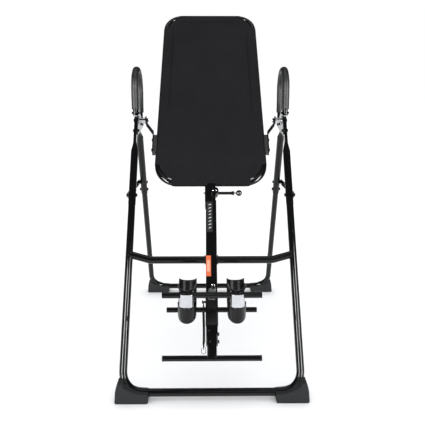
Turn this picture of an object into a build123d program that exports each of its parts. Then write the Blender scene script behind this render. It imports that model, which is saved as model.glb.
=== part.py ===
"""Inversion table: a folding A-frame that carries a tilting backrest with a telescopic ankle boom.

Millimetres, +Z up, +X to the side, the foot end towards -Y.  The origin is on the floor, in the
middle of the footprint.  The backrest and boom are drawn flat, as (x, s, t), and placed by TABLE:
s runs up the backrest from the pivot axis, and t stands out of it towards the user's side.
"""
from build123d import *
import math
import os

# ---- driving dimensions -------------------------------------------------------------------
LEG_X = 331.5                      # plane of the left and right legs
PIVOT_Y, PIVOT_Z = 70.0, 993.0     # axis that the backrest turns about
RECLINE = 38.0                     # rest angle of the backrest from vertical

FRONT_BASE = (-572.0, 27.0)        # (y, z) of the front frame's floor tube
FRONT_APEX = (58.5, 993.0)         # (y, z) where the front legs reach the pivot
FRONT_R, FRONT_UPPER_R = 15.0, 16.0
FRONT_BEND = 78.0
FRONT_ROUND_Z, FRONT_PRESS = 865.0, 45.0   # where its leg starts to flatten, and over what length
REAR_BASE = (578.0, 32.0)
FOLD_Y, FOLD_Z = 145.0, 975.0      # hinge that the rear frame folds about
REAR_R, REAR_UPPER_R = 13.8, 16.0
REAR_BEND = 85.0
REAR_ROUND_Z, REAR_PRESS = 911.0, 25.0
REAR_JOINT_Z = 625.0               # lower end of a rear upper tube
REAR_BOLT_Z = 644.0
WALL = 1.5                         # steel tube wall
SLEEVE_GAP = 0.3                   # radial gap of a tube pushed into another
JOINT_Z = 690.0                    # height of the front leg joint
LEG_OVERLAP = 45.0                 # how far a lower leg reaches past its joint
FRONT_BOLT_Z = 950.0               # bolt through front leg and bracket

TAB_T = 13.0                       # thickness of a leg's flattened top
TAB_W = 38.0
BRACKET_IN, BRACKET_OUT = 320.0, 325.0
AXLE_R = 12.0
BUSH_R, BUSH_FLANGE_R = 15.0, 18.0
BUSH_GAP = 0.08
BOLT_R, SCREW_R = 4.0, 3.0
BOLT_GAP = 0.1
FIT = 0.05                         # gap between touching pieces of one body

CROSSBAR_R, CROSSBAR_BEND = 15.0, 60.0
CROSSBAR_MID = (-296.0, 452.0)     # (y, z) of the crossbar's straight middle
CROSSBAR_HALF = 246.0              # where the crossbar bends up to the legs
CROSSBAR_END_RISE = 24.0           # how far up the leg its ends sit
BUMPER_T, BUMPER_LIP, BUMPER_LIP_W = 0.9, 4.5, 3.5

SPREAD_FRONT = (-139.3, 690.0)     # (y, z) of the spreader's pivots
SPREAD_REAR = (285.0, 682.0)
SPREAD_W, SPREAD_T = 26.0, 3.0
SPREAD_FRONT_X = 348.0             # inner face of the front arms, just outside the legs
SPREAD_REAR_X = 352.0              # inner face of the rear arms
RIVET_R, RIVET_HEAD = 7.0, 1.6

HANDLE_X = 336.3
HANDLE_R, FOAM_R = 11.0, 15.2
HANDLE_TOP, HANDLE_BACK = 1217.0, 270.0
HANDLE_BEND, HANDLE_LOW_BEND = 92.0, 45.0
HANDLE_LOW_Z = 985.0               # where the far limb turns in to the bracket
HANDLE_START_Z, HANDLE_END = 1014.0, (197.0, 967.0)
HANDLE_BOLTS = ((PIVOT_Y, 1026.0), (205.0, 969.0))
FOAM_NEAR_Z, FOAM_FAR_Z = 1041.0, 1022.0

RAIL_R = 12.5                      # backrest tube
RAIL_T = -11.0                     # its centre plane
RAIL_TOP, RAIL_BOTTOM = 629.0, -317.5
RAIL_HALF_TOP, RAIL_HALF_BOTTOM = 211.5, 230.0
RAIL_TOP_BEND, RAIL_BOTTOM_BEND = 75.0, 85.0
RAIL_SPLICE = 120.0
FABRIC = 1.6                       # fabric thickness round a tube
FABRIC_GAP = 0.2
TUNNEL_HALF_TOP, TUNNEL_HALF_BOTTOM = 128.0, 130.0
FABRIC_LOW, FABRIC_HIGH = RAIL_BOTTOM + 88, RAIL_TOP - 72   # ends of the side tunnels
CROSS_TUBE_R = 10.5

ARM_LINE = [(288.0, 17.0), (288.0, -11.0), (253.5, -62.0), (253.5, -168.0)]   # (x, s)
ARM_T = 5.0
ARM_BACK, ARM_FRONT = -28.0, 4.0   # its depth in t
ARM_BOLT_S = (-98.0, -150.0)
SADDLE_IN, SADDLE_LOW, SADDLE_HIGH = 236.0, -166.0, -80.0

BOOM_T = -13.0                     # centre of the boom in t
BOOM = (44.0, 31.0, 2.2)           # width, depth, wall
POST = (38.4, 25.4, 2.0)
SHAFT = (33.4, 20.4, 2.0)
FOOT_TUBE = (36.0, 25.0, 2.0)
COLLAR = (39.4, 26.4, 3.2)         # joins the inner shaft to the boom
BOOM_TOP, BOOM_END = -405.0, -1002.0
POST_TOP, POST_END = -56.0, -560.0
SHAFT_TOP, SHAFT_END = -150.0, -600.0
FOOT_TUBE_TOP = -925.0
FOOT_BAR_S, FOOT_BAR_R, FOOT_BAR_HALF = -1048.5, 10.5, 178.0
SIDE_BOLT_S = (-960.0, -988.0)
SIDE_BOLT_HEAD = 5.5
SCALE = (-17.0, 6.0, -550.0, -412.0)   # x and s limits of the height scale
LABEL = (-21.0, -2.0, -738.0, -652.0)  # x and s limits of the caution label
HOLE_PITCH, HOLE_COUNT = 15.0, 12

PIN_S = -364.0                     # height pin
PIN_R = 4.0
HUB_X, HUB_R = 15.0, 17.0
BARREL_END, PIN_TIP = 97.0, -32.0
BALL_X, BALL_R = 118.0, 13.0

REAR_BAR_S, REAR_BAR_R, REAR_BAR_HALF = -867.0, 10.0, 171.0
FRONT_BAR_S, FRONT_BAR_T, FRONT_BAR_R, FRONT_BAR_HALF = -857.0, 139.0, 11.0, 178.0
SLIDE_S, SLIDE_W = -843.0, 18.0
PULL_T = 40.0                      # where the pull pin enters the slide
HOUSING_TOP, HOUSING_END, HOUSING_FRONT = -805.0, -930.0, 58.0
HOUSING_HALF, NOSE_HALF = 23.5, 16.0
CUP_X = 91.0
CUP_HALF, CUP_DEPTH, CUP_CHANNEL = 35.0, 67.0, 36.0
CUP_ABOVE, CUP_LENGTH = 29.5, 136.0
CUP_TOP_FLARE, CUP_WAIST, CUP_WAIST_HALF = 24.0, 47.0, 26.0
CUP_WALL, CUP_SCOOP = 3.5, 16.0
REAR_CUP_DEPTH, REAR_CUP_CHANNEL, REAR_CUP_MOUTH = 44.0, 21.0, 20.0
REAR_CUP_S, REAR_CUP_LENGTH = -882.0, 130.0

TETHER_X, TETHER_Y, TETHER_Z = -31.5, -425.0, 322.0
TETHER_LENGTH, TETHER_W, TETHER_T = 193.0, 19.0, 2.0

FOOT_LINE = [                      # (x, z) outline of a foot, seen from the front
    (234.0, 0.0), (356.0, 0.0), (352.0, 48.0), (345.0, 77.0), (329.5, 77.0),
    (322.5, 63.0), (301.5, 50.0), (271.5, 38.0), (234.0, 35.0),
]
FOOT_ROUND = 7.0
FRONT_TOE, REAR_TOE, HEEL = 34.0, 38.0, 20.0

RECLINE_SIN, RECLINE_COS = math.sin(math.radians(RECLINE)), math.cos(math.radians(RECLINE))
TABLE = Plane(
    origin=(0, PIVOT_Y, PIVOT_Z), x_dir=(1, 0, 0), z_dir=(0, -RECLINE_COS, RECLINE_SIN)
).location

os.makedirs("parts", exist_ok=True)


# ---- helpers ------------------------------------------------------------------------------
def save(name, *solids):
    """Write one node: a single solid, or a group of separate ones."""
    shape = solids[0] if len(solids) == 1 else Compound(children=list(solids))
    export_step(shape, f"parts/{name}.step")


def save_pair(name, right):
    """Write a right-hand piece and its mirror image as two nodes."""
    save(f"{name}_right", right)
    save(f"{name}_left", mirrored(right))


def mirrored(shape):
    return mirror(shape, about=Plane.YZ)


def swept(path, outer, inner=0.0):
    """A round bar along a path, or a tube when it has an inner radius."""
    start = Plane(origin=path @ 0, z_dir=path % 0)
    bar = sweep(start * Circle(outer), path=path)
    if inner:
        bar -= sweep(start * Circle(inner), path=path)
    return bar


def rod(start, end, radius):
    """A straight round bar between two points."""
    a, b = Vector(*start), Vector(*end)
    return extrude(Plane(origin=a, z_dir=b - a) * Circle(radius), amount=(b - a).length)


def rod_x(x0, x1, y, z, radius):
    return rod((x0, y, z), (x1, y, z), radius)


def plate_yz(sketch, x0, x1):
    """A flat plate standing along Y and Z, between two x values."""
    return extrude(Plane.YZ.offset(x0) * sketch, amount=x1 - x0)


def block(x0, x1, y0, y1, z0, z1):
    middle = ((x0 + x1) / 2, (y0 + y1) / 2, (z0 + z1) / 2)
    return Pos(*middle) * Box(x1 - x0, y1 - y0, z1 - z0)


def box_tube(size, s0, s1, corner):
    """A rectangular tube along s, in (x, s, t)."""
    width, depth, wall = size
    outline = RectangleRounded(width, depth, corner)
    hole = RectangleRounded(width - 2 * wall, depth - 2 * wall, corner - wall / 2)
    section = Plane(origin=(0, s0, BOOM_T), x_dir=(1, 0, 0), z_dir=(0, 1, 0)) * (outline - hole)
    return extrude(section, amount=s1 - s0)


def largest(shape):
    """The biggest separate solid of a shape that a cut may have split."""
    return shape.solids().sort_by(SortBy.VOLUME)[-1]


def hex_x(x0, x1, y, z, radius):
    """A hexagonal bolt head or nut, along X."""
    return plate_yz(Pos(y, z) * RegularPolygon(radius, 6), x0, x1)


def bolt_x(head_x, nut_x, y, z, radius=BOLT_R, head=7.5, thick=5.0):
    """A bolt along X with its head outside head_x and its nut inside nut_x."""
    shank = rod_x(nut_x - thick, head_x, y, z, radius - BOLT_GAP)
    return shank + hex_x(head_x, head_x + thick, y, z, head) + hex_x(nut_x - thick, nut_x, y, z, head)


def ring_x(x0, x1, y, z, outer, inner):
    return rod_x(x0, x1, y, z, outer) - rod_x(x0 - 1, x1 + 1, y, z, inner)


def along(start, end, z):
    """The y of the line from start to end, each (y, z), at height z."""
    return start[0] + (end[0] - start[0]) * (z - start[1]) / (end[1] - start[1])


def leg_point(base, top, z):
    return (LEG_X, along(base, top, z), z)


# ---- legs and floor tubes -----------------------------------------------------------------
def base_path(base, top, z_end, bend):
    """The U of a floor tube and its two lower legs."""
    y_end = along(base, top, z_end)
    corners = [(-LEG_X, y_end, z_end), (-LEG_X, *base), (LEG_X, *base), (LEG_X, y_end, z_end)]
    return FilletPolyline(*corners, radius=bend)


def upper_leg(base, top, z_low, z_round, press, inner, thick):
    """An upper leg from z_low to the end of its line, pressed flat above z_round."""
    low, high = Vector(*leg_point(base, top, z_low)), Vector(*leg_point(base, top, z_round))
    end = Vector(*leg_point(base, top, top[1]))
    way = (end - low).normalized()
    at_low = Plane(origin=low, x_dir=(1, 0, 0), z_dir=way)
    at_high = Plane(origin=high, x_dir=(1, 0, 0), z_dir=way)
    at_flat = Plane(origin=high + way * press, x_dir=(1, 0, 0), z_dir=way)
    tube = extrude(at_low * (Circle(FRONT_UPPER_R) - Circle(inner)), amount=(high - low).length)
    flat = RectangleRounded(thick, TAB_W, thick / 2 - 0.5)
    squeeze = loft([at_high * Circle(FRONT_UPPER_R), at_flat * flat])
    tab = extrude(at_flat * flat, amount=(end - high).length - press)
    tip = rod((end.X - thick / 2, end.Y, end.Z), (end.X + thick / 2, end.Y, end.Z), TAB_W / 2)
    return tube + squeeze + tab + tip


def foot(base, bend, tube_r, lean, y_low, y_high):
    """A moulded rubber cap under one end of a floor tube, between two y values."""
    face = make_face(Polyline(*FOOT_LINE, close=True))
    ground, *_, top = face.vertices().group_by(Axis.Y)
    face = fillet([*ground, top.sort_by(Axis.X)[-1]], FOOT_ROUND)
    cap = extrude(Plane.XZ.offset(-y_high) * face, amount=y_high - y_low)
    tube = swept(base_path(base, lean, 300.0, bend), tube_r + FIT)
    return largest(cap - tube)


def front_frame():
    lean = FRONT_APEX
    base = swept(base_path(FRONT_BASE, lean, JOINT_Z + LEG_OVERLAP, FRONT_BEND), FRONT_R,
                 FRONT_R - WALL)
    joint_holes = rod_x(-LEG_X - 40, LEG_X + 40, *SPREAD_FRONT, BOLT_R)
    save("front_base_tube", base - joint_holes)

    upper = upper_leg(FRONT_BASE, lean, JOINT_Z - 35, FRONT_ROUND_Z, FRONT_PRESS,
                      FRONT_R + SLEEVE_GAP / 3, TAB_T)
    upper -= joint_holes
    upper -= rod_x(LEG_X - 40, LEG_X + 40, *bracket_bolt(), BOLT_R)
    upper -= rod_x(LEG_X - 40, LEG_X + 40, PIVOT_Y, PIVOT_Z, BOLT_R)
    save_pair("front_upper_tube", upper)

    legs = swept(base_path(FRONT_BASE, lean, JOINT_Z, FRONT_BEND), FRONT_R)
    save("front_crossbar", crossbar(CROSSBAR_R, CROSSBAR_R - WALL) - legs)
    save("crossbar_bumper", bumper())

    toe, heel = FRONT_BASE[0] - FRONT_TOE, FRONT_BASE[0] + HEEL
    save_pair("front_foot", foot(FRONT_BASE, FRONT_BEND, FRONT_R, lean, toe, heel))

    joint = bolt_x(SPREAD_FRONT_X + SPREAD_T + 0.2, LEG_X - FRONT_UPPER_R - 0.2, *SPREAD_FRONT)
    apex = bolt_x(LEG_X + TAB_T / 2, BRACKET_IN, *bracket_bolt())
    pivot = pivot_bolt()
    grips = [bolt_x(HANDLE_X + HANDLE_R, BRACKET_IN, *at, SCREW_R, 6.0, 4.0) for at in HANDLE_BOLTS]
    fasteners = [joint, apex, pivot, *grips]
    save("front_frame_bolts", *fasteners, *[mirrored(f) for f in fasteners])


def crossbar(outer, inner):
    """The bar between the front legs that the boom comes to rest on."""
    rise = Vector(0, FRONT_APEX[0] - FRONT_BASE[0], FRONT_APEX[1] - FRONT_BASE[1]).normalized()
    middle = Vector(0, *CROSSBAR_MID)
    ends = middle + rise * CROSSBAR_END_RISE
    corners = [
        (-LEG_X, ends.Y, ends.Z), (-CROSSBAR_HALF, middle.Y, middle.Z),
        (CROSSBAR_HALF, middle.Y, middle.Z), (LEG_X, ends.Y, ends.Z),
    ]
    return swept(FilletPolyline(*corners, radius=CROSSBAR_BEND), outer, inner)


def bumper():
    """A rubber ring on the crossbar, with a lip each side of the boom."""
    half = BOOM[0] / 2 + 5.0
    y, z = CROSSBAR_MID
    ring = rod_x(-half, half, y, z, CROSSBAR_R + BUMPER_T)
    for side in (-1, 1):
        ring += rod_x(side * (half - BUMPER_LIP_W), side * half, y, z, CROSSBAR_R + BUMPER_LIP)
    return ring - rod_x(-half - 1, half + 1, y, z, CROSSBAR_R)


# ---- apex brackets, axle bushes and handles ------------------------------------------------
def bracket_bolt():
    """(y, z) of the bolt that holds a front leg to its bracket."""
    return (along(FRONT_BASE, FRONT_APEX, FRONT_BOLT_Z), FRONT_BOLT_Z)


def pivot_bolt():
    """The short cap screw that closes the outer end of the axle's seat."""
    outer = LEG_X + TAB_T / 2
    return hex_x(outer, outer + 6, PIVOT_Y, PIVOT_Z, 8.5) + rod_x(
        BRACKET_OUT + 0.1, outer, PIVOT_Y, PIVOT_Z, BOLT_R - BOLT_GAP)


def bracket():
    """The steel side plate that joins leg, axle seat, handle and fold hinge."""
    near, far = HANDLE_BOLTS
    rounds = [
        (*bracket_bolt(), 18.0), (PIVOT_Y, PIVOT_Z, 24.0), (*near, 14.0), (*far, 14.0),
        (FOLD_Y, FOLD_Z, 20.0),
    ]
    edges = [(Pos(y, z) * Circle(r)).edges() for y, z, r in rounds]
    outline = make_hull([e for group in edges for e in group])
    plate = plate_yz(outline, BRACKET_IN, BRACKET_OUT - 0.3)
    plate -= rod_x(BRACKET_IN - 1, BRACKET_OUT + 1, PIVOT_Y, PIVOT_Z, BUSH_R)
    for y, z in (bracket_bolt(), (FOLD_Y, FOLD_Z)):
        plate -= rod_x(BRACKET_IN - 1, BRACKET_OUT + 1, y, z, BOLT_R)
    for y, z in HANDLE_BOLTS:
        plate -= rod_x(BRACKET_IN - 1, BRACKET_OUT + 1, y, z, SCREW_R)
    return plate


def handle_path(z_start, z_end, tail=()):
    """The loop of a handle from its near limb to its far one, and on through a tail of (y, z)."""
    flat = [(PIVOT_Y, z_start), (PIVOT_Y, HANDLE_TOP), (HANDLE_BACK, HANDLE_TOP),
            (HANDLE_BACK, z_end), *tail]
    radii = [HANDLE_BEND, HANDLE_BEND, *[HANDLE_LOW_BEND for _ in tail]]
    return FilletPolyline(*[(HANDLE_X, y, z) for y, z in flat], radius=radii)


def handles():
    path = handle_path(HANDLE_START_Z, HANDLE_LOW_Z, [HANDLE_END])
    tube = swept(path, HANDLE_R, HANDLE_R - WALL)
    for y, z in HANDLE_BOLTS:
        tube -= rod_x(HANDLE_X - 30, HANDLE_X + 30, y, z, SCREW_R)
    save_pair("handle_tube", tube)
    foam = swept(handle_path(FOAM_NEAR_Z, FOAM_FAR_Z), FOAM_R, HANDLE_R + FIT)
    save_pair("handle_foam", foam)


def apex():
    save_pair("pivot_bracket", bracket())
    seat = (PIVOT_Y, PIVOT_Z)
    bush = ring_x(BRACKET_IN - 2, BRACKET_OUT - 0.3, *seat, BUSH_R, AXLE_R + BUSH_GAP)
    bush += ring_x(BRACKET_IN - 3.5, BRACKET_IN, *seat, BUSH_FLANGE_R, AXLE_R + BUSH_GAP)
    save("pivot_bushes", bush, mirrored(bush))


# ---- rear frame and spreader --------------------------------------------------------------
def rear_frame():
    lean = (FOLD_Y, FOLD_Z)
    base = swept(base_path(REAR_BASE, lean, SPREAD_REAR[1] + LEG_OVERLAP, REAR_BEND), REAR_R,
                 REAR_R - WALL)
    holes = rod_x(-LEG_X - 40, LEG_X + 40, *rear_bolt(), BOLT_R)
    holes += rod_x(-LEG_X - 40, LEG_X + 40, *SPREAD_REAR, BOLT_R)
    save("rear_base_tube", base - holes)

    upper = upper_leg(REAR_BASE, lean, REAR_JOINT_Z, REAR_ROUND_Z, REAR_PRESS,
                      REAR_R + SLEEVE_GAP / 3, TAB_T - 0.6)
    upper -= holes
    upper -= rod_x(LEG_X - 40, LEG_X + 40, FOLD_Y, FOLD_Z, BOLT_R)
    save_pair("rear_upper_tube", upper)
    toe, heel = REAR_BASE[0] + REAR_TOE, REAR_BASE[0] - HEEL
    save_pair("rear_foot", foot(REAR_BASE, REAR_BEND, REAR_R, lean, heel, toe))


def rear_bolt():
    """(y, z) of the bolt that holds a rear upper tube to the floor tube."""
    return (along(REAR_BASE, (FOLD_Y, FOLD_Z), REAR_BOLT_Z), REAR_BOLT_Z)


def rear_bolts():
    outer, inner = LEG_X + REAR_UPPER_R, LEG_X - REAR_UPPER_R
    joint = bolt_x(SPREAD_REAR_X + SPREAD_T + 0.2, inner - 0.2, *SPREAD_REAR, thick=4.0)
    spacer = ring_x(outer + FIT, SPREAD_REAR_X - 0.2, *SPREAD_REAR, 9.0, BOLT_R)
    lower = bolt_x(outer + 0.2, inner - 0.2, *rear_bolt())
    hinge = bolt_x(LEG_X + TAB_T / 2, BRACKET_IN - 0.3, FOLD_Y, FOLD_Z)
    fasteners = [joint, spacer, lower, hinge]
    save("rear_frame_bolts", *fasteners, *[mirrored(f) for f in fasteners])


def spreader_arm(start, end, x0):
    """A flat bar with rounded ends and a hole at its leg end."""
    a, b = Vector(*start), Vector(*end)
    length = (b - a).length
    turn = math.degrees(math.atan2(b.Y - a.Y, b.X - a.X))
    middle = (a + b) / 2
    bar = plate_yz(Pos(middle.X, middle.Y) * Rot(0, 0, turn) * SlotCenterToCenter(length, SPREAD_W),
                   x0, x0 + SPREAD_T)
    return bar - rod_x(x0 - 1, x0 + SPREAD_T + 1, *start, BOLT_R)


def spreader():
    middle = tuple((f + r) / 2 for f, r in zip(SPREAD_FRONT, SPREAD_REAR))
    front = spreader_arm(SPREAD_FRONT, middle, SPREAD_FRONT_X)
    rear = spreader_arm(SPREAD_REAR, middle, SPREAD_REAR_X)
    outer = SPREAD_REAR_X + SPREAD_T
    rear += rod_x(outer, outer + RIVET_HEAD, *middle, RIVET_R)
    save("spreader_front_arms", front, mirrored(front))
    save("spreader_rear_arms", rear, mirrored(rear))


# ---- backrest -----------------------------------------------------------------------------
def rail_half(s):
    """Half the distance between the side rails' centre lines at s."""
    share = (s - RAIL_BOTTOM) / (RAIL_TOP - RAIL_BOTTOM)
    return RAIL_HALF_BOTTOM + (RAIL_HALF_TOP - RAIL_HALF_BOTTOM) * share


def lower_rail_path():
    corners = [(rail_half(RAIL_SPLICE), RAIL_SPLICE, RAIL_T), (RAIL_HALF_BOTTOM, RAIL_BOTTOM, RAIL_T),
               (POST[0] / 2 + 0.1, RAIL_BOTTOM, RAIL_T)]
    return FilletPolyline(*corners, radius=RAIL_BOTTOM_BEND)


def upper_rail_path():
    half = rail_half(RAIL_SPLICE)
    corners = [(-half, RAIL_SPLICE, RAIL_T), (-RAIL_HALF_TOP, RAIL_TOP, RAIL_T),
               (RAIL_HALF_TOP, RAIL_TOP, RAIL_T), (half, RAIL_SPLICE, RAIL_T)]
    return FilletPolyline(*corners, radius=RAIL_TOP_BEND)


def side_rail(radius, s0, s1):
    return rod((rail_half(s0), s0, RAIL_T), (rail_half(s1), s1, RAIL_T), radius)


def backrest_rails():
    save("backrest_upper_rail", TABLE * swept(upper_rail_path(), RAIL_R, RAIL_R - WALL))
    lower = swept(lower_rail_path(), RAIL_R, RAIL_R - WALL)
    lower += side_rail(RAIL_R - WALL + 0.4, RAIL_SPLICE - 20, RAIL_SPLICE)
    lower += side_rail(RAIL_R - WALL - FIT, RAIL_SPLICE - 1, RAIL_SPLICE + 45)
    lower -= side_rail(RAIL_R - 2 * WALL, RAIL_SPLICE - 25, RAIL_SPLICE + 50)
    save_pair("backrest_lower_rail", TABLE * lower)


def rod_s(half, s, t, radius):
    """A bar across the table, centred, in (x, s, t)."""
    return rod((-half, s, t), (half, s, t), radius)


def cross_bar(radius):
    """The line of the tube between the side rails just below the pivot, as a solid bar."""
    return rod_s(RAIL_HALF_BOTTOM, POST_TOP + 11, BOOM_T, radius)


def backrest_frame():
    rail = side_rail(RAIL_R + FIT, -150, 60)
    tube = cross_bar(CROSS_TUBE_R) - cross_bar(CROSS_TUBE_R - WALL) - rail - mirrored(rail)
    save("backrest_cross_tube", TABLE * largest(tube))

    post = box_tube(POST, POST_END, POST_TOP + 8, 3.0) - cross_bar(CROSS_TUBE_R + FIT)
    guide = block(-25.6, -22.6, -434, -334, -24, -2) + block(-23, -19.1, -400, -334, -24, -2)
    save("backrest_post", TABLE * largest(post + guide - pin_bore()))


def fabric():
    """The backrest cover: a flat sheet with a tunnel round each straight run of the rails."""
    inner, outer = RAIL_R + FABRIC_GAP, RAIL_R + FABRIC_GAP + FABRIC
    low, high = FABRIC_LOW, FABRIC_HIGH
    front = RAIL_T + outer
    corners = [
        (TUNNEL_HALF_BOTTOM, RAIL_BOTTOM), (rail_half(low), low), (rail_half(high), high),
        (TUNNEL_HALF_TOP, RAIL_TOP),
    ]
    outline = Polyline(*corners, *[(-x, s) for x, s in reversed(corners)], close=True)
    cover = extrude(Plane.XY.offset(front - FABRIC) * make_face(outline), amount=FABRIC)
    sides = side_rail(outer, low, high)
    cover = cover + sides + mirrored(sides) + rod_s(TUNNEL_HALF_BOTTOM, RAIL_BOTTOM, RAIL_T, outer)
    cover = cover + rod_s(TUNNEL_HALF_TOP, RAIL_TOP, RAIL_T, outer)
    hollow = side_rail(inner, low - 40, high + 40)
    cover = cover - hollow - mirrored(hollow) - cross_bar(CROSS_TUBE_R + 0.5)
    cover = cover - rod_s(200, RAIL_BOTTOM, RAIL_T, inner) - rod_s(200, RAIL_TOP, RAIL_T, inner)
    cover -= block(-POST[0] / 2 - 0.5, POST[0] / 2 + 0.5, -360, -200, -60, BOOM_T + POST[1] / 2 + 0.5)
    save("backrest_fabric", TABLE * largest(cover))


# ---- swing arms ---------------------------------------------------------------------------
def swing_arm():
    """A bent flat bar from the pivot axis down to the side rail, with a round hub."""
    strip = trace(Polyline(*ARM_LINE), line_width=ARM_T)
    arm = extrude(Plane.XY.offset(ARM_BACK) * strip, amount=ARM_FRONT - ARM_BACK)
    x = ARM_LINE[0][0]
    arm += rod((x - ARM_T / 2, 0, 0), (x + ARM_T / 2, 0, 0), 18.0)
    arm -= rod((x - 20, 0, 0), (x + 20, 0, 0), 6.1)
    return arm - arm_bolt_holes()


def arm_bolt_holes():
    holes = [rod((200, s, RAIL_T), (300, s, RAIL_T), SCREW_R + BOLT_GAP) for s in ARM_BOLT_S]
    return holes[0] + holes[1]


def arm_faces():
    """x of the inner and outer face of the arm's lower run."""
    x = ARM_LINE[-1][0]
    return (x - ARM_T / 2, x + ARM_T / 2)


def rail_saddle():
    """The moulded block between the side rail and the arm."""
    saddle = block(SADDLE_IN, arm_faces()[0], SADDLE_LOW, SADDLE_HIGH, ARM_BACK, ARM_FRONT)
    saddle -= side_rail(RAIL_R + FABRIC_GAP + FABRIC + 0.2, -230, 0)
    return largest(saddle - arm_bolt_holes())


def axle():
    """The pivot stub that turns in the bracket's bush, nutted on the inside of the arm."""
    inner, face = ARM_LINE[0][0] - ARM_T / 2, ARM_LINE[0][0] + ARM_T / 2
    body = rod((face, 0, 0), (BRACKET_OUT - 1.5, 0, 0), AXLE_R)
    body += rod((face, 0, 0), (face + 4, 0, 0), 16.5)
    body += rod((inner - 8, 0, 0), (face + 2, 0, 0), 6.0)
    nut = Plane(origin=(inner - 8, 0, 0), z_dir=(1, 0, 0)) * RegularPolygon(9.5, 6)
    return body + extrude(nut, amount=8)


def swing_arms():
    save_pair("swing_arm", TABLE * swing_arm())
    saddle = TABLE * rail_saddle()
    save("rail_saddles", saddle, mirrored(saddle))
    save_pair("pivot_axle", TABLE * axle())
    face = arm_faces()[1]
    bolts = [rod((RAIL_HALF_BOTTOM + 15.5, s, RAIL_T), (face + 4, s, RAIL_T), SCREW_R)
             + rod((face, s, RAIL_T), (face + 4, s, RAIL_T), 6.5) for s in ARM_BOLT_S]
    placed = [TABLE * b for b in bolts]
    save("swing_arm_bolts", *placed, *[mirrored(b) for b in placed])


# ---- boom ---------------------------------------------------------------------------------
def pin_bore():
    return rod_s(60, PIN_S, BOOM_T, PIN_R + 0.1)


def side_bolt_holes():
    holes = [rod_s(60, s, BOOM_T, SCREW_R + FIT) for s in SIDE_BOLT_S]
    return holes[0] + holes[1]


def boom():
    tube = box_tube(BOOM, BOOM_END, BOOM_TOP, 4.0) - side_bolt_holes()
    half = SLIDE_W / 2 + 0.6
    tube -= block(-half, half, SLIDE_S - half, SLIDE_S + half, -60, 40)
    tube -= rod_s(60, REAR_BAR_S, BOOM_T, REAR_BAR_R + FIT)
    save("boom_tube", TABLE * tube)

    shaft = box_tube(SHAFT, SHAFT_END, SHAFT_TOP, 2.5)
    for k in range(HOLE_COUNT):
        shaft -= rod_s(60, PIN_S + k * HOLE_PITCH, BOOM_T, PIN_R + 0.5)
    collar = box_tube(COLLAR, SHAFT_END, SHAFT_END + 16, 3.4)
    save("boom_inner_shaft", TABLE * (shaft + collar))

    foot_tube = box_tube(FOOT_TUBE, FOOT_BAR_S, FOOT_TUBE_TOP, 3.0) - side_bolt_holes()
    foot_tube -= rod_s(60, FOOT_BAR_S, BOOM_T, FOOT_BAR_R)
    save("foot_tube", TABLE * largest(foot_tube))


def foot_bar():
    half, s = FOOT_BAR_HALF, FOOT_BAR_S
    bar = rod_s(half, s, BOOM_T, FOOT_BAR_R) - rod_s(half + 1, s, BOOM_T, FOOT_BAR_R - WALL)
    save("foot_bar", TABLE * bar)
    cap = rod((half + FIT, s, BOOM_T), (half + 5, s, BOOM_T), FOOT_BAR_R + 1)
    cap = fillet(cap.edges().sort_by(Axis.X)[-1], 4.5)
    cap += rod((half - 18, s, BOOM_T), (half + 1, s, BOOM_T), FOOT_BAR_R - WALL - FIT)
    placed = TABLE * cap
    save("foot_bar_caps", placed, mirrored(placed))


def boom_face_pieces():
    side, front = BOOM[0] / 2, BOOM_T + BOOM[1] / 2
    save("height_scale", TABLE * block(*SCALE, front, front + 0.6))
    save("caution_label", TABLE * block(*LABEL, front, front + 0.4))
    tip = side + SIDE_BOLT_HEAD
    bolts = [rod((-side - 0.1, s, BOOM_T), (tip, s, BOOM_T), SCREW_R)
             + rod((side + 0.1, s, BOOM_T), (tip, s, BOOM_T), 6.5) for s in SIDE_BOLT_S]
    face = [rod((x, s, front), (x, s, front + 2.5), 4.0) for x, s in ((-10, -950), (-7, -991))]
    anchor = rod_x(-37, -side - 0.1, TETHER_Y, TETHER_Z, 4.0)
    anchor += rod_x(-37, -34, TETHER_Y, TETHER_Z, 7.0)
    save("boom_bolts", *[TABLE * piece for piece in bolts + face], anchor)


# ---- height pin ---------------------------------------------------------------------------
def pin_parts():
    half = POST[0] / 2
    hub = rod((HUB_X, PIN_S, BOOM_T - 11), (HUB_X, PIN_S, BOOM_T + 25), HUB_R)
    hub += rod((HUB_X - 1, PIN_S - 20, BOOM_T + 14), (HUB_X - 1, PIN_S - 20, BOOM_T + 20), 6.0)
    hub -= block(-60, half + FIT, PIN_S - 60, PIN_S + 60, -80, BOOM_T + POST[1] / 2 + FIT)
    barrel = rod((HUB_X + 10, PIN_S, BOOM_T), (BARREL_END - 5, PIN_S, BOOM_T), 6.4)
    barrel += extrude(
        Plane(origin=(BARREL_END - 14, PIN_S, BOOM_T), z_dir=(1, 0, 0)) * Circle(6.4),
        amount=14, taper=-13)
    barrel = (hub + barrel) - pin_bore() - rod((0, PIN_S, BOOM_T), (120, PIN_S, BOOM_T), PIN_R + 0.1)
    save("pin_barrel", TABLE * largest(barrel))

    pin = rod((PIN_TIP, PIN_S, BOOM_T), (BALL_X - 4, PIN_S, BOOM_T), PIN_R)
    save("height_pin", TABLE * pin)
    ball = Pos(BALL_X, PIN_S, BOOM_T) * Sphere(BALL_R)
    ball -= rod((BALL_X - 30, PIN_S, BOOM_T), (BALL_X - 4, PIN_S, BOOM_T), PIN_R)
    save("height_pin_ball", TABLE * ball)


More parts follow.
